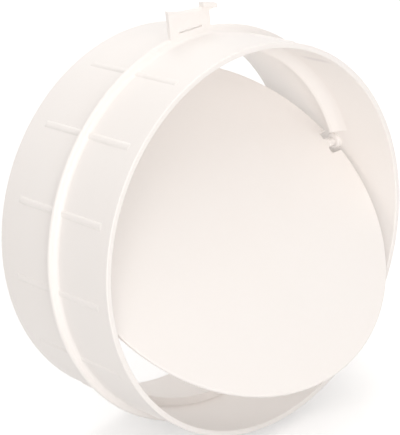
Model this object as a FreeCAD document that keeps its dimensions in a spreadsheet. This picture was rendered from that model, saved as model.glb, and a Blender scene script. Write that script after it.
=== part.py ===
import FreeCAD, Part
import os

import Sketcher
from FreeCAD import Placement, Rotation, Vector

# Round duct connector with a backdraft flap, for 150 mm duct.
# Y is the duct's axis, with the front mouth towards -Y, and +Z points up to the hanger tab.
# The origin is on that axis, in the rear face of the collar, where the rear duct stops.

SIZES = [
    # Tube
    ("spigot_radius", 74.5, "outside of both spigots, a push fit in 150 mm duct"),
    ("wall", 2.2, "wall of the tube"),
    ("rear_spigot_length", 32.6, "collar to rear mouth"),
    ("front_spigot_length", 26.7, "collar to front mouth"),
    ("rim_round", 0.5, "round on the edges of both mouths"),
    ("collar_width", 3.2, "stop between the two ducts, along the axis"),
    ("collar_height", 3.1, "how far the collar stands above the spigots"),
    ("collar_round", 0.9, "round on the collar's outer edges"),
    ("collar_foot", 1.0, "hollow round where the collar meets the front spigot"),
    # Grip ribs on both spigots
    ("rib_count", 16, "places around the tube, the one below the tab being left free"),
    ("rib_width", 2.0, "along the circumference"),
    ("rib_height", 0.33, "above the spigot"),
    ("rear_rib_length", 23.5, "from the collar, towards the rear mouth"),
    ("front_rib_length", 21.0, "from the collar, towards the front mouth"),
    ("rib_ramp", 1.2, "slope at the free end of a rib"),
    # Hinge line and the two half-ring seats
    ("hinge_height", 13.3, "hinge axis above the duct's axis"),
    ("hinge_setback", 0.6, "hinge axis behind the collar's rear face"),
    ("seat_height", 3.4, "how far a seat stands into the bore"),
    ("seat_thickness", 1.6, "along the axis, at a seat's inner edge"),
    ("seat_flare", 4.5, "hollow slope from that edge out to the bore, on the side away from the flap"),
    ("seat_gap", 0.3, "closed flap to each seat"),
    ("seat_round", 0.5, "round on a seat's inner edge, beside the flap"),
    ("seat_end_rise", 5.8, "hinge axis to the end of a seat, up or down"),
    # Hinge bosses on the tube
    ("boss_radius", 3.3, "outside of a hinge boss"),
    ("boss_length", 1.8, "how far a boss stands out of the bore at the hinge axis"),
    ("boss_round", 0.6, "round on the free edge of a boss"),
    ("socket_floor", 1.4, "wall left outside a boss's blind socket"),
    # Flap and its trunnions
    ("flap_thickness", 1.6, "disc"),
    ("flap_clearance", 1.4, "edge of the closed flap to the bore"),
    ("flap_bevel", 0.3, "bevel on the edges of the disc"),
    ("open_angle", 41.5, "how far the flap stands open from its seats"),
    ("tongue_width", 3.8, "springy tongue that carries a trunnion"),
    ("slit_width", 2.9, "gap on either side of a tongue"),
    ("slit_depth", 4.7, "slits from the disc's edge inwards, at the hinge axis"),
    ("tongue_foot", 2.5, "full thickness of a tongue, carried into the disc past its slits"),
    ("tongue_gap", 0.4, "end of a tongue to the boss"),
    ("trunnion_radius", 1.6, "pivot pin"),
    ("trunnion_clearance", 0.05, "pin to socket, all round"),
    ("trunnion_end_gap", 0.4, "pin's tip to the socket's floor"),
    ("trunnion_root", 2.6, "stretch of the pin that is moulded into the tongue"),
    ("trunnion_chamfer", 0.4, "lead on the pin's tip"),
    ("margin_width", 5.2, "thinned margin that lies on the upper seat"),
    ("margin_depth", 0.35, "depth of that margin below the flap's front face"),
    # Hanger tab on the collar
    ("tab_width", 19.6, "plate, across the tube"),
    ("tab_shift", -1.0, "middle of the plate from the tube's middle plane"),
    ("tab_thickness", 1.6, "plate, forwards from the collar's rear face"),
    ("tab_height", 9.6, "left horn above the collar"),
    ("tab_bevel", 1.3, "slope along the plate's top edge"),
    ("dip_radius", 42.0, "hollow in the plate's top edge"),
    ("slot_length", 11.2, "strap slot in the plate"),
    ("slot_height", 0.7, "strap slot in the plate"),
    ("slot_lift", 0.3, "strap slot above the collar"),
    ("finger_length", 6.5, "sideways hook finger on the plate's corner"),
    ("finger_overhang", 2.9, "finger past the plate's edge"),
    ("finger_thickness", 1.9, "hook finger"),
    ("finger_drop", 1.7, "fall of the finger towards its free end"),
    ("finger_sink", 0.2, "plate's top corner inside the finger"),
    ("finger_web", 1.3, "web from the plate's edge to the finger's tip, at the plate"),
]

# Places that the sizes above fix, as expressions on the sheet
BORE = "(Sizes.spigot_radius - Sizes.wall)"
MID_WALL = "(Sizes.spigot_radius - Sizes.wall / 2)"
COLLAR_RADIUS = "(Sizes.spigot_radius + Sizes.collar_height)"
FRONT_RIM = "(-Sizes.collar_width - Sizes.front_spigot_length)"
HALF_CHANNEL = "(Sizes.flap_thickness / 2 + Sizes.seat_gap)"
FLAP_RADIUS = f"({BORE} - Sizes.flap_clearance)"
SEAT_FLARE_RADIUS = "((Sizes.seat_flare ^ 2 + Sizes.seat_height ^ 2) / (2 * Sizes.seat_height))"
BOSS_FACE = f"(sqrt({BORE} ^ 2 - Sizes.hinge_height ^ 2) - Sizes.boss_length)"
SOCKET_FLOOR = "(sqrt(Sizes.spigot_radius ^ 2 - Sizes.hinge_height ^ 2) - Sizes.socket_floor)"
NOTCH_HALF = "(Sizes.tongue_width / 2 + Sizes.slit_width)"
NOTCH_FLOOR = f"(sqrt({FLAP_RADIUS} ^ 2 - Sizes.hinge_height ^ 2) - Sizes.slit_depth)"
TONGUE_END = f"({BOSS_FACE} - Sizes.tongue_gap)"
TRUNNION_TIP = f"({SOCKET_FLOOR} - Sizes.trunnion_end_gap)"
TAB_LEFT = "(Sizes.tab_shift - Sizes.tab_width / 2)"
TAB_RIGHT = "(Sizes.tab_shift + Sizes.tab_width / 2)"
TAB_TOP = f"({COLLAR_RADIUS} + Sizes.tab_height)"
FINGER_RIGHT = f"({TAB_RIGHT} + Sizes.finger_overhang)"
FINGER_LEFT = f"({FINGER_RIGHT} - Sizes.finger_length)"
FINGER_BASE = f"({TAB_TOP} - Sizes.finger_sink - Sizes.finger_thickness)"
FINGER_SLOPE = "(Sizes.finger_drop / Sizes.finger_length)"
SLOT_LOW = f"({COLLAR_RADIUS} + Sizes.slot_lift)"

doc = FreeCAD.newDocument("backdraft_damper")
sheet = doc.addObject("Spreadsheet::Sheet", "Sizes")
for row, (alias, size, note) in enumerate(SIZES, start=1):
    sheet.set(f"A{row}", alias)
    sheet.set(f"B{row}", str(size))
    sheet.setAlias(f"B{row}", alias)
    sheet.set(f"C{row}", note)
doc.recompute()


def value(expression):
    """The number that an expression on the sheet comes to."""
    return float(sheet.evalExpression(expression))


def origin_feature(body, role):
    """One of a body's own origin planes or axes."""
    return next(item for item in body.Origin.OriginFeatures if item.Role == role)


def new_sketch(body, name, plane, offset="0"):
    """An empty sketch on one of the body's origin planes, lifted along the plane's normal."""
    sketch = body.newObject("Sketcher::SketchObject", name)
    sketch.AttachmentSupport = (origin_feature(body, plane), [""])
    sketch.MapMode = "FlatFace"
    sketch.setExpression("AttachmentOffset.Base.z", offset)
    doc.recompute()
    return sketch


def bind_point(sketch, geometry, end, point):
    """Ties one end of a line, or a circle's centre, to two expressions."""
    for kind, expression in zip(("DistanceX", "DistanceY"), point):
        constraint = Sketcher.Constraint(kind, -1, 1, geometry, end, value(expression))
        index = sketch.addConstraint(constraint)
        sketch.setExpression(f"Constraints[{index}]", expression)


def outline(sketch, corners, arc=None):
    """A closed outline through corners given as expressions; arc = (side, radius) hollows one side."""
    places = [Vector(value(x), value(y), 0) for x, y in corners]
    sides = []
    for number, start in enumerate(places):
        finish = places[(number + 1) % len(places)]
        if arc and arc[0] == number:
            sides.append(hollow_side(sketch, start, finish, value(arc[1])))
        else:
            sides.append(sketch.addGeometry(Part.LineSegment(start, finish)))
    for number, side in enumerate(sides):
        following = sides[(number + 1) % len(sides)]
        hollow_end = arc and arc[0] == number
        hollow_start = arc and (arc[0] - 1) % len(sides) == number
        sketch.addConstraint(Sketcher.Constraint("Coincident", side, 1 if hollow_end else 2,
                                                 following, 2 if hollow_start else 1))
        bind_point(sketch, side, 2 if hollow_end else 1, corners[number])
    if arc:
        index = sketch.addConstraint(Sketcher.Constraint("Radius", sides[arc[0]], value(arc[1])))
        sketch.setExpression(f"Constraints[{index}]", arc[1])


def hollow_side(sketch, start, finish, radius):
    """An arc of the given radius between two points, bending into the outline; it runs finish to start."""
    chord = finish - start
    across = Vector(chord.y, -chord.x, 0).normalize()
    centre = (start + finish) / 2 + across * (radius ** 2 - (chord.Length / 2) ** 2) ** 0.5
    circle = Part.Circle(centre, Vector(0, 0, 1), radius)
    arc = Part.ArcOfCircle(circle, circle.parameter(finish), circle.parameter(start))
    return sketch.addGeometry(arc)


def disc(sketch, centre, radius):
    """A circle whose centre and radius are expressions."""
    circle = Part.Circle(Vector(value(centre[0]), value(centre[1]), 0), Vector(0, 0, 1), value(radius))
    geometry = sketch.addGeometry(circle)
    bind_point(sketch, geometry, 3, centre)
    index = sketch.addConstraint(Sketcher.Constraint("Radius", geometry, value(radius)))
    sketch.setExpression(f"Constraints[{index}]", radius)


def feature(body, kind, name, sketch, **bound):
    """A sketch-based feature of the body, with its sizes bound to expressions."""
    made = body.newObject(f"PartDesign::{kind}", name)
    made.Profile = sketch
    for key, expression in bound.items():
        made.setExpression(key, expression)
    sketch.Visibility = False
    return made


def dress(body, kind, name, size, *tests):
    """A Fillet or Chamfer on every edge of the body so far that meets one of the tests."""
    doc.recompute()
    base = body.Tip
    edges = []
    for number, edge in enumerate(base.Shape.Edges, start=1):
        if any(test(edge) for test in tests):
            edges.append(f"Edge{number}")
    made = body.newObject(f"PartDesign::{kind}", name)
    made.Base = (base, edges)
    made.setExpression("Radius" if kind == "Fillet" else "Size", size)
    doc.recompute()
    return made


def near(a, b):
    return abs(a - b) < 1e-4


def round_edge(radius, axis, place):
    """A test for edges that are arcs of this radius, about an axis letter, at this place along it."""
    def test(edge):
        curve = edge.Curve
        if not isinstance(curve, Part.Circle) or not near(curve.Radius, value(radius)):
            return False
        return near(abs(getattr(curve.Axis, axis)), 1) and near(getattr(curve.Center, axis), value(place))
    return test


# The tube, its collar and both mouths are one turned section.
housing = doc.addObject("PartDesign::Body", "housing")
housing.Label = "housing"

tube_section = new_sketch(housing, "tube_section", "XY_Plane")
outline(tube_section, [
    (BORE, FRONT_RIM),
    ("Sizes.spigot_radius", FRONT_RIM),
    ("Sizes.spigot_radius", "-Sizes.collar_width"),
    (COLLAR_RADIUS, "-Sizes.collar_width"),
    (COLLAR_RADIUS, "0"),
    ("Sizes.spigot_radius", "0"),
    ("Sizes.spigot_radius", "Sizes.rear_spigot_length"),
    (BORE, "Sizes.rear_spigot_length"),
])
tube = feature(housing, "Revolution", "tube", tube_section)
tube.ReferenceAxis = (tube_section, ["V_Axis"])

dress(housing, "Fillet", "rim_rounds", "Sizes.rim_round",
      round_edge(BORE, "y", FRONT_RIM),
      round_edge("Sizes.spigot_radius", "y", FRONT_RIM),
      round_edge(BORE, "y", "Sizes.rear_spigot_length"),
      round_edge("Sizes.spigot_radius", "y", "Sizes.rear_spigot_length"))
dress(housing, "Fillet", "collar_rounds", "Sizes.collar_round",
      round_edge(COLLAR_RADIUS, "y", "-Sizes.collar_width"),
      round_edge(COLLAR_RADIUS, "y", "0"))
dress(housing, "Fillet", "collar_foot_round", "Sizes.collar_foot",
      round_edge("Sizes.spigot_radius", "y", "-Sizes.collar_width"))

# Grip ribs run along both spigots, through the collar, at every place but the one below the tab.
rib_section = new_sketch(housing, "rib_section", "YZ_Plane")
rib_section.AttachmentOffset = Placement(Vector(), Rotation(Vector(1, 0, 0), 1))
rib_section.setExpression("AttachmentOffset.Rotation.Angle", "360 deg / Sizes.rib_count")
outline(rib_section, [
    ("-Sizes.collar_width - Sizes.front_rib_length", MID_WALL),
    ("Sizes.rear_rib_length", MID_WALL),
    ("Sizes.rear_rib_length", "Sizes.spigot_radius"),
    ("Sizes.rear_rib_length - Sizes.rib_ramp", "Sizes.spigot_radius + Sizes.rib_height"),
    ("-Sizes.collar_width - Sizes.front_rib_length + Sizes.rib_ramp",
     "Sizes.spigot_radius + Sizes.rib_height"),
    ("-Sizes.collar_width - Sizes.front_rib_length", "Sizes.spigot_radius"),
])
rib = feature(housing, "Pad", "rib", rib_section, Length="Sizes.rib_width")
rib.Midplane = True
doc.recompute()
ribs = housing.newObject("PartDesign::PolarPattern", "ribs")
ribs.Originals = [rib]
ribs.Axis = (origin_feature(housing, "Y_Axis"), [""])
ribs.setExpression("Angle", "360 deg - 720 deg / Sizes.rib_count")
ribs.setExpression("Occurrences", "Sizes.rib_count - 1")
housing.Tip = ribs

# Two half-ring seats: the upper one in front of the closed flap, the lower one behind it.
# They stop short of the hinge, where the flap passes from one side to the other. Each slopes out to
# the bore, tangent to it, on the side away from the flap.
for name, side, lean in (("upper_seat", 1, -1), ("lower_seat", -1, 1)):
    seat_section = new_sketch(housing, f"{name}_section", "YZ_Plane")
    near_flap = f"Sizes.hinge_setback + {lean} * {HALF_CHANNEL}"
    far_side = f"{near_flap} + {lean} * Sizes.seat_thickness"
    flare_end = f"{far_side} + {lean} * Sizes.seat_flare"
    crest = f"{side} * ({BORE} - Sizes.seat_height)"
    outline(seat_section, [
        (near_flap, crest),
        (near_flap, f"{side} * {MID_WALL}"),
        (flare_end, f"{side} * {MID_WALL}"),
        (flare_end, f"{side} * {BORE}"),
        (far_side, crest),
    ], arc=(3, SEAT_FLARE_RADIUS))
    end_angle = f"asin(({side} * Sizes.hinge_height + Sizes.seat_end_rise) / {BORE})"
    seat = feature(housing, "Revolution", name, seat_section, Angle=f"180 deg - 2 * {end_angle}")
    seat.ReferenceAxis = (seat_section, ["H_Axis"])
    seat.Midplane = True
    dress(housing, "Fillet", f"{name}_round", "Sizes.seat_round",
          round_edge(f"{BORE} - Sizes.seat_height", "y", near_flap))

# A hinge boss stands on the bore at each end of the axis, with a blind socket for a trunnion.
hinge_point = ("Sizes.hinge_setback", "Sizes.hinge_height")
boss_section = new_sketch(housing, "boss_section", "YZ_Plane", BOSS_FACE)
disc(boss_section, hinge_point, "Sizes.boss_radius")
boss = feature(housing, "Pad", "boss", boss_section, Length=f"{SOCKET_FLOOR} - {BOSS_FACE}")
socket_section = new_sketch(housing, "socket_section", "YZ_Plane", BOSS_FACE)
disc(socket_section, hinge_point, "Sizes.trunnion_radius + Sizes.trunnion_clearance")
socket = feature(housing, "Pocket", "socket", socket_section, Length=f"{SOCKET_FLOOR} - {BOSS_FACE}")
socket.Reversed = True
doc.recompute()
bosses = housing.newObject("PartDesign::Mirrored", "bosses")
bosses.Originals = [boss, socket]
bosses.MirrorPlane = (origin_feature(housing, "YZ_Plane"), [""])
housing.Tip = bosses
dress(housing, "Fillet", "boss_rounds", "Sizes.boss_round",
      round_edge("Sizes.boss_radius", "x", BOSS_FACE),
      round_edge("Sizes.boss_radius", "x", f"-{BOSS_FACE}"))

# The hanger tab is a thin plate on the collar, hollowed and bevelled along its top edge. At its right
# it runs out as a web under the hook finger.
tab_outline = new_sketch(housing, "tab_outline", "XZ_Plane")
outline(tab_outline, [
    (TAB_LEFT, MID_WALL),
    (TAB_RIGHT, MID_WALL),
    (TAB_RIGHT, f"{FINGER_BASE} - ({TAB_RIGHT} - {FINGER_LEFT}) * {FINGER_SLOPE} - Sizes.finger_web"),
    (FINGER_RIGHT, f"{FINGER_BASE} - Sizes.finger_drop"),
    (FINGER_RIGHT, f"{FINGER_BASE} + Sizes.finger_sink - Sizes.finger_drop"),
    (FINGER_LEFT, f"{FINGER_BASE} + Sizes.finger_sink"),
    (TAB_LEFT, TAB_TOP),
], arc=(5, "Sizes.dip_radius"))
feature(housing, "Pad", "tab", tab_outline, Length="Sizes.tab_thickness")
dress(housing, "Chamfer", "tab_top_bevel", "Sizes.tab_bevel",
      round_edge("Sizes.dip_radius", "y", "-Sizes.tab_thickness"))

# A hook finger, as deep as the collar is wide, leans out over the plate's right-hand corner.
finger_outline = new_sketch(housing, "finger_outline", "XZ_Plane")
outline(finger_outline, [
    (FINGER_LEFT, FINGER_BASE),
    (FINGER_RIGHT, f"{FINGER_BASE} - Sizes.finger_drop"),
    (FINGER_RIGHT, f"{FINGER_BASE} - Sizes.finger_drop + Sizes.finger_thickness"),
    (FINGER_LEFT, f"{FINGER_BASE} + Sizes.finger_thickness"),
])
feature(housing, "Pad", "finger", finger_outline, Length="Sizes.collar_width")

# A narrow slot for a hanging strap runs through the plate just above the collar.
slot_outline = new_sketch(housing, "slot_outline", "XZ_Plane")
outline(slot_outline, [
    ("Sizes.tab_shift - Sizes.slot_length / 2", SLOT_LOW),
    ("Sizes.tab_shift + Sizes.slot_length / 2", SLOT_LOW),
    ("Sizes.tab_shift + Sizes.slot_length / 2", f"{SLOT_LOW} + Sizes.slot_height"),
    ("Sizes.tab_shift - Sizes.slot_length / 2", f"{SLOT_LOW} + Sizes.slot_height"),
])
slot = feature(housing, "Pocket", "slot", slot_outline, Length="Sizes.tab_thickness")
slot.Reversed = True

# The flap is drawn closed, with the hinge axis as its own X axis, and then swung open.
flap = doc.addObject("PartDesign::Body", "flap")
flap.Label = "flap"
flap.Placement = Placement(Vector(), Rotation(Vector(-1, 0, 0), 1))
flap.setExpression("Placement.Base.y", "Sizes.hinge_setback")
flap.setExpression("Placement.Base.z", "Sizes.hinge_height")
flap.setExpression("Placement.Rotation.Angle", "Sizes.open_angle * 1 deg")

plate_outline = new_sketch(flap, "plate_outline", "XZ_Plane")
disc(plate_outline, ("0", "-Sizes.hinge_height"), FLAP_RADIUS)
plate = feature(flap, "Pad", "plate", plate_outline, Length="Sizes.flap_thickness")
plate.Midplane = True

# The upper half has a thinned margin on its front face, where it closes on the upper seat.
margin_section = new_sketch(flap, "margin_section", "YZ_Plane")
front_face = "-Sizes.flap_thickness / 2"
outline(margin_section, [
    (front_face, f"{FLAP_RADIUS} - Sizes.hinge_height - Sizes.margin_width"),
    (f"{front_face} + Sizes.margin_depth", f"{FLAP_RADIUS} - Sizes.hinge_height - Sizes.margin_width"),
    (f"{front_face} + Sizes.margin_depth", f"{BORE} - Sizes.hinge_height"),
    (front_face, f"{BORE} - Sizes.hinge_height"),
])
disc_axis = margin_section.addGeometry(Part.LineSegment(Vector(0, -1, 0), Vector(1, -1, 0)), True)
bind_point(margin_section, disc_axis, 1, ("0", "-Sizes.hinge_height"))
bind_point(margin_section, disc_axis, 2, ("Sizes.flap_thickness", "-Sizes.hinge_height"))
margin_span = f"180 deg - 2 * asin(Sizes.hinge_height / {FLAP_RADIUS})"
margin = feature(flap, "Groove", "margin", margin_section, Angle=margin_span)
margin.ReferenceAxis = (margin_section, ["Axis0"])
margin.Midplane = True

# A notch at each end of the axis holds a springy tongue between two slits, with a trunnion on it.
notch_outline = new_sketch(flap, "notch_outline", "XZ_Plane")
outline(notch_outline, [
    (NOTCH_FLOOR, f"-{NOTCH_HALF}"),
    (BORE, f"-{NOTCH_HALF}"),
    (BORE, NOTCH_HALF),
    (NOTCH_FLOOR, NOTCH_HALF),
])
notch = feature(flap, "Pocket", "notch", notch_outline, Length="2 * Sizes.flap_thickness")
notch.Midplane = True
tongue_outline = new_sketch(flap, "tongue_outline", "XZ_Plane")
outline(tongue_outline, [
    (f"{NOTCH_FLOOR} - Sizes.tongue_foot", "-Sizes.tongue_width / 2"),
    (TONGUE_END, "-Sizes.tongue_width / 2"),
    (TONGUE_END, "Sizes.tongue_width / 2"),
    (f"{NOTCH_FLOOR} - Sizes.tongue_foot", "Sizes.tongue_width / 2"),
])
tongue = feature(flap, "Pad", "tongue", tongue_outline, Length="Sizes.flap_thickness")
tongue.Midplane = True
trunnion_section = new_sketch(flap, "trunnion_section", "YZ_Plane", f"{TONGUE_END} - Sizes.trunnion_root")
disc(trunnion_section, ("0", "0"), "Sizes.trunnion_radius")
trunnion = feature(flap, "Pad", "trunnion", trunnion_section,
                   Length=f"{TRUNNION_TIP} - {TONGUE_END} + Sizes.trunnion_root")
doc.recompute()
hinge_ends = flap.newObject("PartDesign::Mirrored", "hinge_ends")
hinge_ends.Originals = [notch, tongue, trunnion]
hinge_ends.MirrorPlane = (origin_feature(flap, "YZ_Plane"), [""])
flap.Tip = hinge_ends
dress(flap, "Chamfer", "trunnion_leads", "Sizes.trunnion_chamfer",
      round_edge("Sizes.trunnion_radius", "x", TRUNNION_TIP),
      round_edge("Sizes.trunnion_radius", "x", f"-{TRUNNION_TIP}"))

# The edges of the disc are bevelled last, from notch to notch.
dress(flap, "Chamfer", "plate_bevels", "Sizes.flap_bevel",
      round_edge(FLAP_RADIUS, "y", "Sizes.flap_thickness / 2"),
      round_edge(FLAP_RADIUS, "y", front_face),
      round_edge(FLAP_RADIUS, "y", f"{front_face} + Sizes.margin_depth"))

# Every feature has to be sound, and each piece one valid solid, before anything is written.
doc.recompute()
failed = [item.Name for item in doc.Objects if {"Invalid", "Error"} & set(item.State)]
if failed:
    raise RuntimeError(f"failed features: {failed}")
pieces = (housing, flap)
for piece in pieces:
    if piece.Shape.isNull() or not piece.Shape.isValid() or len(piece.Shape.Solids) != 1:
        raise RuntimeError(f"{piece.Label} is not one valid solid")

os.makedirs("parts", exist_ok=True)
for piece in pieces:
    piece.Shape.exportStep(f"parts/{piece.Label}.step")
    print(piece.Label, "volume", round(piece.Shape.Volume), "mm3")
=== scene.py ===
import math

import bmesh
import bpy
from mathutils import Matrix, Vector


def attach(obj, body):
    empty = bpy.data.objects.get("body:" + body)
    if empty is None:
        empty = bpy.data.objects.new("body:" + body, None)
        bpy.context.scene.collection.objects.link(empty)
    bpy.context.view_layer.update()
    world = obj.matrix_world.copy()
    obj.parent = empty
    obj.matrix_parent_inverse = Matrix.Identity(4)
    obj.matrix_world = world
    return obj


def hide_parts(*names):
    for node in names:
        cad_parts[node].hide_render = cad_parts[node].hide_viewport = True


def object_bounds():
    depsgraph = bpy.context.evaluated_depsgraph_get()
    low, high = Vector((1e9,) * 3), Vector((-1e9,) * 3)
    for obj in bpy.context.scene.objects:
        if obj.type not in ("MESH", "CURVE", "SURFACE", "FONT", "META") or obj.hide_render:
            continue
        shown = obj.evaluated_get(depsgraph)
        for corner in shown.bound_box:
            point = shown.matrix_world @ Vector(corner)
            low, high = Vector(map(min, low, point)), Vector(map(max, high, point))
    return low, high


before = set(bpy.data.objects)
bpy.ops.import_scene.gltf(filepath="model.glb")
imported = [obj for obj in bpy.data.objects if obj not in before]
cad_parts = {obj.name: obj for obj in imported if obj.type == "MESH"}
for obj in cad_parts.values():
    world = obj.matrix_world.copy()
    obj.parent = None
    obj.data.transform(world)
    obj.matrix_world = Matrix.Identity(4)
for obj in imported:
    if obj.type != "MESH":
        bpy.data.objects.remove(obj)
cad_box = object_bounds()

# The tube: two spigots with the stop collar between them, one moulding in warm white plastic.
# Its wall is drawn as a flat section, given the collar with its rounded crest and hollow foot, and spun
# about the duct's axis.
MM = 0.001
SPIGOT_RADIUS = 74.5 * MM
WALL = 2.2 * MM
BORE = SPIGOT_RADIUS - WALL
MID_WALL = SPIGOT_RADIUS - WALL / 2
REAR_RIM = 32.6 * MM
COLLAR_FRONT = -3.2 * MM
FRONT_RIM = COLLAR_FRONT - 26.7 * MM
COLLAR_HEIGHT = 3.1 * MM
COLLAR_RADIUS = SPIGOT_RADIUS + COLLAR_HEIGHT
RIM_ROUND = 0.5 * MM
COLLAR_FACE = -1.5 * MM
COLLAR_EDGE = 0.25 * MM
COLLAR_ROUND = 1.2 * MM
COLLAR_FOOT = COLLAR_FACE - COLLAR_FRONT
ROUND_STEPS = 6
TUBE_STEPS = 288
SAME_PLACE = 1e-6


def start_piece(name):
    """Names the primitive that was just added and moves its place and size into its mesh."""
    piece = bpy.context.object
    piece.name = name
    piece.data.name = name
    bpy.ops.object.transform_apply(location=True, rotation=True, scale=True)
    return piece


def flat_section(name, low, high):
    """A flat rectangle in the plane of the duct's axis, from a low to a high corner."""
    bpy.ops.object.select_all(action="DESELECT")
    bpy.ops.mesh.primitive_plane_add(size=1, location=((low[0] + high[0]) / 2,
                                                       (low[1] + high[1]) / 2, 0))
    bpy.context.object.scale = (high[0] - low[0], high[1] - low[1], 1)
    return start_piece(name)


def pick(piece, kind, test):
    """In edit mode, selects the verts, edges or faces that meet a test, and nothing else."""
    bpy.ops.mesh.select_mode(type={"verts": "VERT", "edges": "EDGE", "faces": "FACE"}[kind])
    bpy.ops.mesh.select_all(action="DESELECT")
    work = bmesh.from_edit_mesh(piece.data)
    for part in getattr(work, kind):
        if test(part):
            part.select_set(True)
    bmesh.update_edit_mesh(piece.data)


def middle(part):
    """Where the middle of an edge or face is."""
    return sum((v.co for v in part.verts), Vector()) / len(part.verts)


def at(*places):
    """A test for vertices that stand at one of these places in a flat section."""
    return lambda v: any((v.co - Vector((x, y, 0))).length < SAME_PLACE for x, y in places)


def round_corners(piece, radius, *places):
    """Rounds the corners of a flat section that stand at these places."""
    pick(piece, "verts", at(*places))
    bpy.ops.mesh.bevel(affect="VERTICES", offset=radius, segments=ROUND_STEPS, clamp_overlap=False)


def close_up(piece):
    """Merges what meets, and turns all faces outwards."""
    bpy.ops.mesh.select_all(action="SELECT")
    bpy.ops.mesh.remove_doubles(threshold=SAME_PLACE)
    bpy.ops.mesh.normals_make_consistent(inside=False)


tube = flat_section("tube", (BORE, FRONT_RIM), (SPIGOT_RADIUS, REAR_RIM))
bpy.ops.object.mode_set(mode="EDIT")
for cut in (COLLAR_FACE, 0):
    bpy.ops.mesh.select_all(action="SELECT")
    bpy.ops.mesh.bisect(plane_co=(0, cut, 0), plane_no=(0, 1, 0))
collar_middle = Vector((SPIGOT_RADIUS, COLLAR_FACE / 2, 0))
pick(tube, "edges", lambda e: (middle(e) - collar_middle).length < SAME_PLACE)
bpy.ops.mesh.extrude_region_move(TRANSFORM_OT_translate={"value": (COLLAR_HEIGHT, 0, 0)})
pick(tube, "faces", lambda f: True)
bpy.ops.mesh.dissolve_faces()
round_corners(tube, RIM_ROUND, (BORE, FRONT_RIM), (SPIGOT_RADIUS, FRONT_RIM),
              (BORE, REAR_RIM), (SPIGOT_RADIUS, REAR_RIM))
round_corners(tube, COLLAR_EDGE, (COLLAR_RADIUS, 0))
round_corners(tube, COLLAR_ROUND, (COLLAR_RADIUS, COLLAR_FACE))
round_corners(tube, COLLAR_FOOT, (SPIGOT_RADIUS, COLLAR_FACE))
bpy.ops.mesh.select_all(action="SELECT")
bpy.ops.mesh.delete(type="ONLY_FACE")
bpy.ops.mesh.select_all(action="SELECT")
bpy.ops.mesh.spin(steps=TUBE_STEPS, angle=math.tau, center=(0, 0, 0), axis=(0, 1, 0))
close_up(tube)
bpy.ops.object.mode_set(mode="OBJECT")

# Grip ribs: fifteen low ridges moulded along both spigots, one every 22.5 degrees, with none below
# the tab. Each has sloping flanks and a softly rounded crest, and a duct rides up the slope at
# its end.
RIB_FOOT = 2.7 * MM
RIB_FLANK = 0.65 * MM
RIB_TOP = SPIGOT_RADIUS + 0.5 * MM
RIB_FRONT = COLLAR_FRONT - 21.0 * MM
RIB_REAR = 23.5 * MM
RIB_RAMP = 1.2 * MM
RIB_ROUND = 0.42 * MM
RIB_ROUND_STEPS = 3
RIB_PLACES = 16


def block(name, low, high):
    """A block from its lowest to its highest corner."""
    bpy.ops.object.select_all(action="DESELECT")
    bpy.ops.mesh.primitive_cube_add(size=1, location=[(a + b) / 2 for a, b in zip(low, high)])
    bpy.context.object.scale = [b - a for a, b in zip(low, high)]
    return start_piece(name)


def join(pieces):
    """Makes one object of several, under the first one's name."""
    bpy.ops.object.select_all(action="DESELECT")
    for piece in pieces:
        piece.select_set(True)
    bpy.context.view_layer.objects.active = pieces[0]
    bpy.ops.object.join()
    return pieces[0]


def near(a, b):
    """Whether two measures are the same."""
    return abs(a - b) < SAME_PLACE


rib = block("rib", (-RIB_FOOT / 2, RIB_FRONT, MID_WALL), (RIB_FOOT / 2, RIB_REAR, RIB_TOP))
bpy.ops.object.mode_set(mode="EDIT")
bpy.ops.mesh.select_all(action="SELECT")
bpy.ops.mesh.bisect(plane_co=(0, 0, SPIGOT_RADIUS), plane_no=(0, 0, 1))
for end, inwards in ((RIB_FRONT, RIB_RAMP), (RIB_REAR, -RIB_RAMP)):
    pick(rib, "verts", lambda v: near(v.co.z, RIB_TOP) and near(v.co.y, end))
    bpy.ops.transform.translate(value=(0, inwards, 0))
for side, inwards in ((-RIB_FOOT / 2, RIB_FLANK), (RIB_FOOT / 2, -RIB_FLANK)):
    pick(rib, "verts", lambda v: near(v.co.z, RIB_TOP) and near(v.co.x, side))
    bpy.ops.transform.translate(value=(inwards, 0, 0))
pick(rib, "edges", lambda e: all(near(v.co.z, RIB_TOP) for v in e.verts))
bpy.ops.mesh.bevel(affect="EDGES", offset=RIB_ROUND, segments=RIB_ROUND_STEPS, clamp_overlap=False)
bpy.ops.object.mode_set(mode="OBJECT")
ribs = []
for place in range(1, RIB_PLACES):
    copy = rib.copy()
    copy.data = rib.data.copy()
    copy.data.transform(Matrix.Rotation(math.tau * place / RIB_PLACES, 4, "Y"))
    bpy.context.collection.objects.link(copy)
    ribs.append(copy)
bpy.data.objects.remove(rib)
ribs = join(ribs)

# Two half-ring seats stand inside the tube: the upper one in front of the closed flap and the lower
# one behind it. Away from the flap they slope out to the wall in one hollow curve, and they stop
# short of the hinge, where the flap swings through.
HINGE_Y = 0.6 * MM
HINGE_Z = 13.3 * MM
SEAT_HEIGHT = 3.4 * MM
SEAT_CREST = BORE - SEAT_HEIGHT
SEAT_THICKNESS = 1.6 * MM
SEAT_FLARE = 6.5 * MM
FLARE_RADIUS = (SEAT_FLARE ** 2 + SEAT_HEIGHT ** 2) / (2 * SEAT_HEIGHT)
FLARE_STEPS = 6
HALF_CHANNEL = 1.1 * MM
SEAT_ROUND = 0.6 * MM
SEAT_BLEND = 0.9 * MM
SEAT_FOOT = 0.6 * MM
SEAT_FOOT_END = 1.2 * SEAT_FOOT
SEAT_SINK = 0.02 * MM
SEAT_END_RISE = 5.8 * MM
SEAT_STEPS = 150


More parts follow.
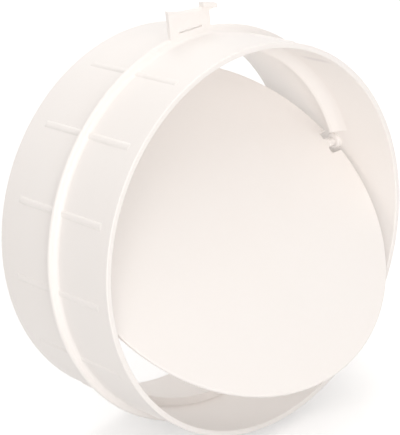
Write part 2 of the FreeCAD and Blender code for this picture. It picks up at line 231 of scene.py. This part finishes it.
def sweep(section, start, finish, steps):
    """Spins a flat section about the duct's axis, between two angles from the right upwards."""
    section.data.transform(Matrix.Rotation(-start, 4, "Y"))
    bpy.context.view_layer.objects.active = section
    bpy.ops.object.mode_set(mode="EDIT")
    bpy.ops.mesh.select_all(action="SELECT")
    bpy.ops.mesh.spin(steps=steps, angle=finish - start, center=(0, 0, 0), axis=(0, 1, 0))
    close_up(section)
    bpy.ops.object.mode_set(mode="OBJECT")


def draw_to(*places):
    """Draws on from the chosen point of a flat section, from place to place."""
    for (x, y), (next_x, next_y) in zip(places, places[1:]):
        step = (next_x - x, next_y - y, 0)
        bpy.ops.mesh.extrude_region_move(TRANSFORM_OT_translate={"value": step})


def seat(name, side, lean):
    """A half-ring seat: side is 1 above the hinge or -1 below it, lean -1 in front or 1 behind."""
    near_flap = HINGE_Y + lean * HALF_CHANNEL
    far_side = near_flap + lean * SEAT_THICKNESS
    flare_end = far_side + lean * SEAT_FLARE
    foot = BORE + SEAT_SINK
    crest = SEAT_CREST + SEAT_SINK
    foot_end = near_flap - lean * SEAT_FOOT_END
    ring = flat_section(name, (crest - SAME_PLACE, far_side - SAME_PLACE),
                        (crest + SAME_PLACE, far_side + SAME_PLACE))
    bpy.ops.object.mode_set(mode="EDIT")
    pick(ring, "verts", lambda v: True)
    bpy.ops.mesh.merge(type="CENTER")
    draw_to((crest, far_side), (crest, near_flap), (foot, near_flap), (foot, foot_end),
            (MID_WALL, foot_end), (MID_WALL, flare_end), (foot, flare_end))
    flare_angle = lean * math.atan2(SEAT_FLARE, FLARE_RADIUS - SEAT_HEIGHT)
    bpy.ops.mesh.spin(steps=FLARE_STEPS, angle=flare_angle, axis=(0, 0, 1),
                      center=(foot - FLARE_RADIUS, flare_end, 0))
    bpy.ops.mesh.select_all(action="SELECT")
    bpy.ops.mesh.remove_doubles(threshold=SAME_PLACE)
    bpy.ops.mesh.edge_face_add()
    round_corners(ring, SEAT_ROUND, (crest, near_flap))
    round_corners(ring, SEAT_BLEND, (crest, far_side))
    round_corners(ring, SEAT_FOOT, (foot, near_flap))
    bpy.ops.object.mode_set(mode="OBJECT")
    end_angle = math.asin((side * HINGE_Z + SEAT_END_RISE) / BORE)
    middle_angle = side * math.pi / 2
    half_span = math.pi / 2 - end_angle
    sweep(ring, middle_angle - half_span, middle_angle + half_span, SEAT_STEPS)
    return ring


seats = join([seat("upper_seat", 1, -1), seat("lower_seat", -1, 1)])

# A hinge boss stands on the wall at each end of the flap's axis. Its rim is rounded, and the blind
# socket that takes the flap's trunnion is cut once the boss is part of the wall.
BOSS_RADIUS = 3.3 * MM
BOSS_FACE = math.sqrt(BORE ** 2 - HINGE_Z ** 2) - 1.8 * MM
BOSS_ROUND = 0.6 * MM
BOSS_ROUND_STEPS = 4
BOSS_SIDES = 64
SOCKET_RADIUS = 1.65 * MM
SOCKET_SIDES = 48
SOCKET_MOUTH = BOSS_FACE - MM
SOCKET_FLOOR = math.sqrt(SPIGOT_RADIUS ** 2 - HINGE_Z ** 2) - 1.4 * MM
BOSS_SINK = 0.1 * MM


def crossways_rod(name, radius, low, high, sides):
    """A rod on the hinge axis, from one place along X to another."""
    bpy.ops.object.select_all(action="DESELECT")
    bpy.ops.mesh.primitive_cylinder_add(vertices=sides, radius=radius, depth=high - low,
                                        location=((low + high) / 2, HINGE_Y, HINGE_Z),
                                        rotation=(0, math.pi / 2, 0))
    return start_piece(name)


def mirrored_pair(piece):
    """The piece and its mirror image across the middle of the duct, as one object."""
    other = piece.copy()
    other.data = piece.data.copy()
    other.data.transform(Matrix.Scale(-1, 4, (1, 0, 0)))
    other.data.flip_normals()
    bpy.context.collection.objects.link(other)
    return join([piece, other])


def rim_at(place):
    """A test for edges of a rod that run round its end at this place along X."""
    return lambda e: all(near(v.co.x, place) for v in e.verts)


boss = crossways_rod("bosses", BOSS_RADIUS, BOSS_FACE, SOCKET_FLOOR + BOSS_SINK, BOSS_SIDES)
bpy.ops.object.mode_set(mode="EDIT")
pick(boss, "edges", rim_at(BOSS_FACE))
bpy.ops.mesh.bevel(affect="EDGES", offset=BOSS_ROUND, segments=BOSS_ROUND_STEPS, clamp_overlap=False)
bpy.ops.object.mode_set(mode="OBJECT")
bosses = mirrored_pair(boss)
socket = crossways_rod("sockets", SOCKET_RADIUS, SOCKET_MOUTH, SOCKET_FLOOR, SOCKET_SIDES)
sockets = mirrored_pair(socket)

# The hanger tab: a thin plate on top of the collar, hollowed and bevelled along its upper edge, with
# a strap slot at its foot. A hook finger leans out over its right-hand corner, on a thin web. The
# plate is bevelled while it is too long, and its ends are cut afterwards.
TAB_LEFT = -10.8 * MM
TAB_RIGHT = 8.8 * MM
TAB_TOP = COLLAR_RADIUS + 9.6 * MM
TAB_FRONT = -1.6 * MM
TAB_REAR = -0.02 * MM
TAB_BEVEL = 1.45 * MM
TAB_BEVEL_STEPS = 2
TAB_BEVEL_PROFILE = 0.6
TAB_SPARE = 3 * MM
TAB_SINK = 0.02 * MM
HOLLOW_RADIUS = 42.0 * MM
HOLLOW_STEPS = 360
HOLLOW_NEAR = HOLLOW_RADIUS + 0.05 * MM
HOLLOW_DEPTH = 10 * MM
FINGER_LEFT = 5.2 * MM
FINGER_RIGHT = 11.7 * MM
FINGER_BASE = TAB_TOP - 2.1 * MM
FINGER_THICKNESS = 1.9 * MM
FINGER_DROP = 1.7 * MM
FINGER_ROUND = 0.45 * MM
FINGER_ROUND_STEPS = 4
FINGER_REAR = -0.04 * MM
FINGER_SINK = 0.2 * MM
FINGER_MIDDLE = FINGER_BASE + FINGER_THICKNESS / 2
WEB_LEFT = FINGER_LEFT + 0.6 * MM
WEB_RIGHT = FINGER_RIGHT - 0.6 * MM
WEB_REAR = -0.06 * MM
WEB_LOW = FINGER_BASE - 2.9 * MM
WEB_RISE = 1.2 * MM
SLOT_LEFT = -6.6 * MM
SLOT_RIGHT = 4.6 * MM
SLOT_LOW = COLLAR_RADIUS + 0.3 * MM
SLOT_HIGH = SLOT_LOW + 0.7 * MM
SLOT_REACH = 5 * MM


def carve(piece, tool, operation):
    """Joins a tool's shape to the piece, or cuts it away, and removes the tool."""
    bpy.ops.object.select_all(action="DESELECT")
    bpy.context.view_layer.objects.active = piece
    change = piece.modifiers.new(tool.name, "BOOLEAN")
    change.operation = operation
    change.solver = "EXACT"
    change.object = tool
    bpy.ops.object.modifier_apply(modifier=change.name)
    bpy.data.objects.remove(tool)


tab = block("tab", (TAB_LEFT - TAB_SPARE, TAB_FRONT, MID_WALL),
            (TAB_RIGHT + TAB_SPARE, TAB_REAR, TAB_TOP + TAB_SPARE))
hollow_right = Vector((FINGER_LEFT, FINGER_BASE + FINGER_SINK))
hollow_left = Vector((TAB_LEFT, TAB_TOP - TAB_SINK))
chord = hollow_left - hollow_right
lift = math.sqrt(HOLLOW_RADIUS ** 2 - chord.length_squared / 4)
upwards = Vector((chord.y, -chord.x)).normalized()
hollow_centre = (hollow_left + hollow_right) / 2 + upwards * lift
bpy.ops.object.select_all(action="DESELECT")
bpy.ops.mesh.primitive_cylinder_add(vertices=HOLLOW_STEPS, radius=HOLLOW_RADIUS, depth=HOLLOW_DEPTH,
                                    location=(hollow_centre.x, 0, hollow_centre.y),
                                    rotation=(math.pi / 2, 0, 0))
carve(tab, start_piece("hollow"), "DIFFERENCE")


def on_hollow_front(edge):
    """Whether an edge runs along the hollow, on the front of the plate."""
    centre = middle(edge)
    from_centre = Vector((centre.x, centre.z)) - hollow_centre
    return from_centre.length < HOLLOW_NEAR and all(near(v.co.y, TAB_FRONT) for v in edge.verts)


bpy.ops.object.mode_set(mode="EDIT")
pick(tab, "edges", on_hollow_front)
bpy.ops.mesh.bevel(affect="EDGES", offset=TAB_BEVEL, segments=TAB_BEVEL_STEPS,
                   profile=TAB_BEVEL_PROFILE, clamp_overlap=False)
slope = Vector((FINGER_DROP, 0, FINGER_RIGHT - FINGER_LEFT)).normalized()
for x, z, outwards in ((TAB_LEFT, 0, (-1, 0, 0)), (TAB_RIGHT, 0, (1, 0, 0)), (*hollow_right, slope)):
    bpy.ops.mesh.select_all(action="SELECT")
    bpy.ops.mesh.bisect(plane_co=(x, 0, z), plane_no=outwards, use_fill=True, clear_outer=True)
bpy.ops.object.mode_set(mode="OBJECT")
slot = block("slot", (SLOT_LEFT, -SLOT_REACH, SLOT_LOW), (SLOT_RIGHT, SLOT_REACH, SLOT_HIGH))
carve(tab, slot, "DIFFERENCE")

finger = block("finger", (FINGER_LEFT, COLLAR_FRONT, FINGER_BASE),
               (FINGER_RIGHT, FINGER_REAR, FINGER_BASE + FINGER_THICKNESS))
bpy.ops.object.mode_set(mode="EDIT")
pick(finger, "verts", lambda v: near(v.co.x, FINGER_RIGHT))
bpy.ops.transform.translate(value=(0, 0, -FINGER_DROP))
bpy.ops.mesh.select_all(action="SELECT")
bpy.ops.mesh.bevel(affect="EDGES", offset=FINGER_ROUND, segments=FINGER_ROUND_STEPS,
                   clamp_overlap=False)
bpy.ops.object.mode_set(mode="OBJECT")

web = block("web", (WEB_LEFT, TAB_FRONT + TAB_SINK, WEB_LOW), (WEB_RIGHT, WEB_REAR, FINGER_MIDDLE))
bpy.ops.object.mode_set(mode="EDIT")
for level, rise in ((WEB_LOW, WEB_RISE), (FINGER_MIDDLE, -FINGER_DROP)):
    pick(web, "verts", lambda v: near(v.co.x, WEB_RIGHT) and near(v.co.z, level))
    bpy.ops.transform.translate(value=(0, 0, rise))
bpy.ops.object.mode_set(mode="OBJECT")

# The housing is all of these as one moulding. Its plastic is a warm white with a satin skin: fine
# mould grain, faint draw lines along the axis, a little uneven colour, and one soft streak of darker
# grey painted along the front bore.
SHADE_ANGLE = math.radians(32)
PALE_WHITE = (0.955, 0.924, 0.902, 1)
WARM_WHITE = (0.945, 0.909, 0.882, 1)
CLOUD_SCALE = 22.0
SPECK_SCALE = 700.0
GRAIN_SCALE = 1600.0
PEEL_SCALE = 90.0
DRAW_LINES = (900.0, 8.0, 900.0)
LEAST_ROUGH = 0.36
SKIN_BUMP = 0.06
SKIN_DEPTH = 0.4 * MM
PLASTIC_IOR = 1.49
STREAK_ANGLE = math.radians(52.5)
STREAK_HALF = math.radians(2.4)
STREAK_FRONT = -28.5 * MM
STREAK_REAR = -10.0 * MM
STREAK_FADE = 6.0 * MM
STREAK_SHADE = (0.84, 0.805, 0.8, 1)


class Wire:
    """A value in a material's nodes. Sums and products of it add Math nodes."""

    def __init__(self, tree, socket=None):
        self.tree = tree
        self.socket = socket

    def node(self, kind, settings, values, output=0):
        """Adds a node: its settings first, with a ramp's stops, then its sockets' values or links."""
        added = self.tree.nodes.new(kind)
        for name, setting in settings.items():
            if name == "stops":
                for number, (place, shade) in enumerate(setting):
                    ramp = added.color_ramp.elements
                    stop = ramp[number] if number < 2 else ramp.new(place)
                    stop.position = place
                    stop.color = shade
            else:
                setattr(added, name, setting)
        for name, value in values.items():
            if isinstance(value, Wire):
                self.tree.links.new(value.socket, added.inputs[name])
            else:
                added.inputs[name].default_value = value
        return Wire(self.tree, added.outputs[output])

    def sum(self, operation, first, second):
        """Adds a Math node for two values."""
        return self.node("ShaderNodeMath", {"operation": operation}, {0: first, 1: second})

    def __add__(self, other):
        return self.sum("ADD", self, other)

    def __radd__(self, other):
        return self.sum("ADD", other, self)

    def __sub__(self, other):
        return self.sum("SUBTRACT", self, other)

    def __rsub__(self, other):
        return self.sum("SUBTRACT", other, self)

    def __mul__(self, other):
        return self.sum("MULTIPLY", self, other)

    def __rmul__(self, other):
        return self.sum("MULTIPLY", other, self)


def moulded_plastic(name, line_scale):
    """Satin moulded plastic: two close whites, mould grain, and lines stretched by line_scale."""
    finish = bpy.data.materials.new(name)
    finish.use_nodes = True
    tree = finish.node_tree
    skin = tree.nodes["Principled BSDF"]
    start = Wire(tree)
    place = start.node("ShaderNodeTexCoord", {}, {}, "Object")
    cloud = start.node("ShaderNodeTexNoise", {}, {"Vector": place, "Scale": CLOUD_SCALE, "Detail": 3.0})
    speck = start.node("ShaderNodeTexNoise", {}, {"Vector": place, "Scale": SPECK_SCALE, "Detail": 2.0})
    grain = start.node("ShaderNodeTexNoise", {}, {"Vector": place, "Scale": GRAIN_SCALE, "Detail": 2.0})
    peel = start.node("ShaderNodeTexNoise", {}, {"Vector": place, "Scale": PEEL_SCALE, "Detail": 1.0})
    along = start.node("ShaderNodeMapping", {}, {"Vector": place, "Scale": line_scale})
    draw = start.node("ShaderNodeTexNoise", {}, {"Vector": along, "Scale": 1.0, "Detail": 3.0})
    tone = 0.7 * cloud + 0.3 * speck
    whites = [(0.3, PALE_WHITE), (0.7, WARM_WHITE)]
    colour = start.node("ShaderNodeValToRGB", {"stops": whites}, {"Fac": tone})
    rough = LEAST_ROUGH + 0.12 * draw + 0.08 * cloud
    height = 0.6 * grain + 0.25 * peel + 0.15 * draw
    bump = start.node("ShaderNodeBump", {}, {"Height": height, "Strength": SKIN_BUMP,
                                             "Distance": SKIN_DEPTH})
    tree.links.new(colour.socket, skin.inputs["Base Color"])
    tree.links.new(rough.socket, skin.inputs["Roughness"])
    tree.links.new(bump.socket, skin.inputs["Normal"])
    skin.inputs["IOR"].default_value = PLASTIC_IOR
    return finish


def add_streak(finish):
    """A soft streak of darker grey painted along the front bore, up on the right."""
    tree = finish.node_tree
    base = tree.nodes["Principled BSDF"].inputs["Base Color"]
    clean = Wire(tree, base.links[0].from_socket)
    place = clean.node("ShaderNodeTexCoord", {}, {}, "Object")
    x, y, z = (clean.node("ShaderNodeSeparateXYZ", {}, {"Vector": place}, axis) for axis in "XYZ")
    off_line = clean.sum("ABSOLUTE", clean.sum("ARCTAN2", z, x) - STREAK_ANGLE, 0)
    mark = 1.0
    for value, none, full in ((off_line, STREAK_HALF, 0),
                              (y, STREAK_FRONT, STREAK_FRONT + STREAK_FADE),
                              (y, STREAK_REAR, STREAK_REAR - STREAK_FADE),
                              (x * x + z * z, SPIGOT_RADIUS ** 2, BORE ** 2)):
        mark = mark * clean.node("ShaderNodeMapRange", {"interpolation_type": "SMOOTHSTEP"},
                                 {"Value": value, "From Min": none, "From Max": full})
    # Mixes the streak's darker grey into the plastic's colour along the front bore.
    streaked = clean.node("ShaderNodeMix", {"data_type": "RGBA"},
                        {0: mark, 6: clean, 7: STREAK_SHADE}, 2)
    tree.links.new(streaked.socket, base)


def dress(piece, finish):
    """Gives the piece its finish, smooth curved faces and crisp edges."""
    piece.data.materials.clear()
    piece.data.materials.append(finish)
    bpy.ops.object.select_all(action="DESELECT")
    piece.select_set(True)
    bpy.context.view_layer.objects.active = piece
    bpy.ops.object.shade_smooth_by_angle(angle=SHADE_ANGLE)
    even = piece.modifiers.new("even_normals", "WEIGHTED_NORMAL")
    even.keep_sharp = True
    bpy.ops.object.modifier_apply(modifier=even.name)


housing = tube
housing.name = "housing_moulding"
housing.data.name = "housing_moulding"
for part in (ribs, seats, bosses, tab, web, finger):
    carve(housing, part, "UNION")
carve(housing, sockets, "DIFFERENCE")
satin = moulded_plastic("housing_satin", DRAW_LINES)
add_streak(satin)
dress(housing, satin)
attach(housing, "housing")
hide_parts("housing")

# The flap: a thin moulded disc in the same plastic, with a thinned margin above the hinge, where it
# lies on the upper seat. At each end of its axis two slits leave a springy tongue, which carries a
# trunnion.
FLAP_RADIUS = BORE - 1.4 * MM
FLAP_THICKNESS = 1.6 * MM
FLAP_ROUND = 0.52 * MM
FLAP_ROUND_STEPS = 4
FLAP_STEPS = 256
OPEN_ANGLE = math.radians(41.5)
TONGUE_HALF = 1.9 * MM
NOTCH_HALF = TONGUE_HALF + 2.9 * MM
NOTCH_FLOOR = math.sqrt(FLAP_RADIUS ** 2 - HINGE_Z ** 2) - 4.7 * MM
MARGIN_END = HINGE_Z + NOTCH_HALF + 0.8 * MM
TONGUE_ROUND = 0.2 * MM
SMALL_ROUND_STEPS = 2
TONGUE_END = BOSS_FACE - 0.4 * MM
MARGIN_RADIUS = FLAP_RADIUS - 5.2 * MM
MARGIN_DEPTH = 0.35 * MM
STEP_ROUND = 0.12 * MM
RIM_NEAR = FLAP_RADIUS - 0.05 * MM
STEP_NEAR = 0.02 * MM
TRUNNION_RADIUS = 1.6 * MM
TRUNNION_SIDES = 48
TRUNNION_ROOT = TONGUE_END - 2.6 * MM
TRUNNION_TIP = SOCKET_FLOOR - 0.4 * MM
TRUNNION_LEAD = 0.4 * MM
TRUNNION_LEAD_STEPS = 3
FLOW_LINES = (60.0, 60.0, 60.0)
FLAP_FRONT = HINGE_Y - FLAP_THICKNESS / 2
FLAP_REAR = HINGE_Y + FLAP_THICKNESS / 2
PAST = 4 * MM

bpy.ops.object.select_all(action="DESELECT")
bpy.ops.mesh.primitive_cylinder_add(vertices=FLAP_STEPS, radius=FLAP_RADIUS, depth=FLAP_THICKNESS,
                                    location=(0, HINGE_Y, 0), rotation=(math.pi / 2, 0, 0))
flap = start_piece("flap_moulding")

notch = block("notch", (NOTCH_FLOOR, FLAP_FRONT - PAST, HINGE_Z - NOTCH_HALF),
              (BORE, FLAP_REAR + PAST, HINGE_Z + NOTCH_HALF))
kept_tongue = block("kept_tongue",
                    (NOTCH_FLOOR - PAST, FLAP_FRONT - 2 * PAST, HINGE_Z - TONGUE_HALF),
                    (TONGUE_END, FLAP_REAR + 2 * PAST, HINGE_Z + TONGUE_HALF))
carve(notch, kept_tongue, "DIFFERENCE")
carve(flap, mirrored_pair(notch), "DIFFERENCE")

margin = block("margin", (-BORE, FLAP_FRONT - PAST, MARGIN_END),
               (BORE, FLAP_FRONT + MARGIN_DEPTH, BORE))
bpy.ops.object.select_all(action="DESELECT")
bpy.ops.mesh.primitive_cylinder_add(vertices=FLAP_STEPS, radius=MARGIN_RADIUS, depth=4 * PAST,
                                    location=(0, HINGE_Y, 0), rotation=(math.pi / 2, 0, 0))
carve(margin, start_piece("thick_middle"), "DIFFERENCE")
carve(flap, margin, "DIFFERENCE")


def from_axis(edge):
    """How far the middle of an edge is from the disc's own axis."""
    centre = middle(edge)
    return math.hypot(centre.x, centre.z)


def outer_corner(edge):
    """Whether an edge is a sharp corner that stands out."""
    return len(edge.link_faces) == 2 and edge.is_convex and edge.calc_face_angle() > SHADE_ANGLE


def on_rim(edge):
    """Whether an edge is a sharp corner on the rim of the disc."""
    return outer_corner(edge) and from_axis(edge) > RIM_NEAR


def on_tongue(edge):
    """Whether an edge is a sharp corner of a tongue or of the notch around it."""
    return outer_corner(edge) and abs(middle(edge).x) > NOTCH_FLOOR + SAME_PLACE


def on_step(edge):
    """Whether an edge is the top of the step that bounds the thinned margin."""
    return outer_corner(edge) and abs(from_axis(edge) - MARGIN_RADIUS) < STEP_NEAR


bpy.context.view_layer.objects.active = flap
bpy.ops.object.mode_set(mode="EDIT")
for test, size, steps in ((on_rim, FLAP_ROUND, FLAP_ROUND_STEPS),
                          (on_tongue, TONGUE_ROUND, SMALL_ROUND_STEPS),
                          (on_step, STEP_ROUND, SMALL_ROUND_STEPS)):
    pick(flap, "edges", test)
    bpy.ops.mesh.bevel(affect="EDGES", offset=size, segments=steps, clamp_overlap=False)
bpy.ops.object.mode_set(mode="OBJECT")

trunnion = crossways_rod("trunnions", TRUNNION_RADIUS, TRUNNION_ROOT, TRUNNION_TIP, TRUNNION_SIDES)
bpy.ops.object.mode_set(mode="EDIT")
pick(trunnion, "edges", lambda e: rim_at(TRUNNION_ROOT)(e) or rim_at(TRUNNION_TIP)(e))
bpy.ops.mesh.bevel(affect="EDGES", offset=TRUNNION_LEAD, segments=TRUNNION_LEAD_STEPS,
                   clamp_overlap=False)
bpy.ops.object.mode_set(mode="OBJECT")
carve(flap, mirrored_pair(trunnion), "UNION")
hinge = Matrix.Translation((0, HINGE_Y, HINGE_Z))
flap.data.transform(hinge @ Matrix.Rotation(-OPEN_ANGLE, 4, "X") @ hinge.inverted())
dress(flap, moulded_plastic("flap_satin", FLOW_LINES))
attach(flap, "flap")
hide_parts("flap")

# The studio: a plain white floor under the collar, which keeps the damper's shadow and pales with
# distance, even light all round, and three large soft lamps: one beside the camera, one high in
# front and one high behind on the right.
FLOOR_SPAN = 12.0
FLOOR_SHADE = (0.76, 0.76, 0.76, 1)
FLOOR_ROUGH = 0.9
FLOOR_LIFT = 0.6
LIFT_NEAR = 0.7
LIFT_FROM = 0.4
LIFT_FULL = 1.8
LIGHT_COLOUR = (1, 0.975, 0.954)
ROOM_LIGHT = 0.535
WHITE = (1, 1, 1, 1)
LAMP_SIZE = 0.9
LAMP_DISTANCE = 1.25
LAMPS = (("front_lamp", 6.9, -35, 12), ("high_lamp", 3.1, -15, 66), ("back_lamp", 4.1, 140, 60))


def seen_by_camera(wire):
    """1 on the rays that come from the camera, straight or by way of a shiny or clear surface."""
    seen, mirrored, through = (wire.node("ShaderNodeLightPath", {}, {}, f"Is {ray} Ray")
                               for ray in ("Camera", "Glossy", "Transmission"))
    return seen + mirrored + through


bpy.ops.object.select_all(action="DESELECT")
bpy.ops.mesh.primitive_plane_add(size=FLOOR_SPAN, location=(0, 0, cad_box[0][2]))
floor = start_piece("floor")
paper = bpy.data.materials.new("white_paper")
paper.use_nodes = True
sheet = Wire(paper.node_tree)
surface = paper.node_tree.nodes["Principled BSDF"]
surface.inputs["Base Color"].default_value = FLOOR_SHADE
surface.inputs["Roughness"].default_value = FLOOR_ROUGH
spot = sheet.node("ShaderNodeTexCoord", {}, {}, "Object")
away = sheet.node("ShaderNodeVectorMath", {"operation": "LENGTH"}, {0: spot}, "Value")
pale = sheet.node("ShaderNodeMapRange", {}, {"Value": away, "From Min": LIFT_FROM,
                                             "From Max": LIFT_FULL, "To Min": LIFT_NEAR})
glow = pale * seen_by_camera(sheet)
paper.node_tree.links.new(glow.socket, surface.inputs["Emission Color"])
surface.inputs["Emission Strength"].default_value = FLOOR_LIFT
floor.data.materials.append(paper)

world = bpy.data.worlds.new("studio")
bpy.context.scene.world = world
world.use_nodes = True
sky = Wire(world.node_tree)
room = world.node_tree.nodes["Background"]
room.inputs["Color"].default_value = (*LIGHT_COLOUR, 1)
room.inputs["Strength"].default_value = ROOM_LIGHT
room_light = Wire(world.node_tree, room.outputs[0])
backdrop = sky.node("ShaderNodeBackground", {}, {"Color": WHITE, "Strength": 1.0})
shown = sky.node("ShaderNodeMixShader", {}, {0: seen_by_camera(sky), 1: room_light, 2: backdrop})
world.node_tree.links.new(shown.socket, world.node_tree.nodes["World Output"].inputs["Surface"])

for name, power, azimuth, elevation in LAMPS:
    lamp = bpy.data.lights.new(name, "AREA")
    lamp.size = LAMP_SIZE
    lamp.energy = power
    lamp.color = LIGHT_COLOUR
    soft_box = bpy.data.objects.new(name, lamp)
    turn = math.radians(azimuth)
    rise = math.radians(elevation)
    across = LAMP_DISTANCE * math.cos(rise)
    soft_box.location = (across * math.sin(turn), -across * math.cos(turn),
                         LAMP_DISTANCE * math.sin(rise))
    soft_box.rotation_euler = (-soft_box.location).to_track_quat("-Z", "Y").to_euler()
    bpy.context.collection.objects.link(soft_box)

# The camera looks down at the front mouth from the left, from where the photograph was taken. Its
# place and its three directions come from the outlines of the mouths, the collar and the flap.
LENS = 136.69
SENSOR = 36.0
VIEW_RIGHT = Vector((0.74122636, -0.66389262, -0.09914673))
VIEW_UP = Vector((0.31262405, 0.21071864, 0.9262094))
VIEW_BACK = Vector((-0.59401152, -0.71752648, 0.36373901))
VIEW_PLACE = Vector((-377.763, -450.562, 233.391)) * MM

view = bpy.data.cameras.new("view")
view.lens = LENS
view.sensor_width = SENSOR
camera = bpy.data.objects.new("view", view)
view_turn = Matrix((VIEW_RIGHT, VIEW_UP, VIEW_BACK)).transposed().to_4x4()
camera.matrix_world = Matrix.Translation(VIEW_PLACE) @ view_turn
bpy.context.collection.objects.link(camera)
bpy.context.scene.camera = camera
bpy.context.scene.view_settings.view_transform = "Standard"
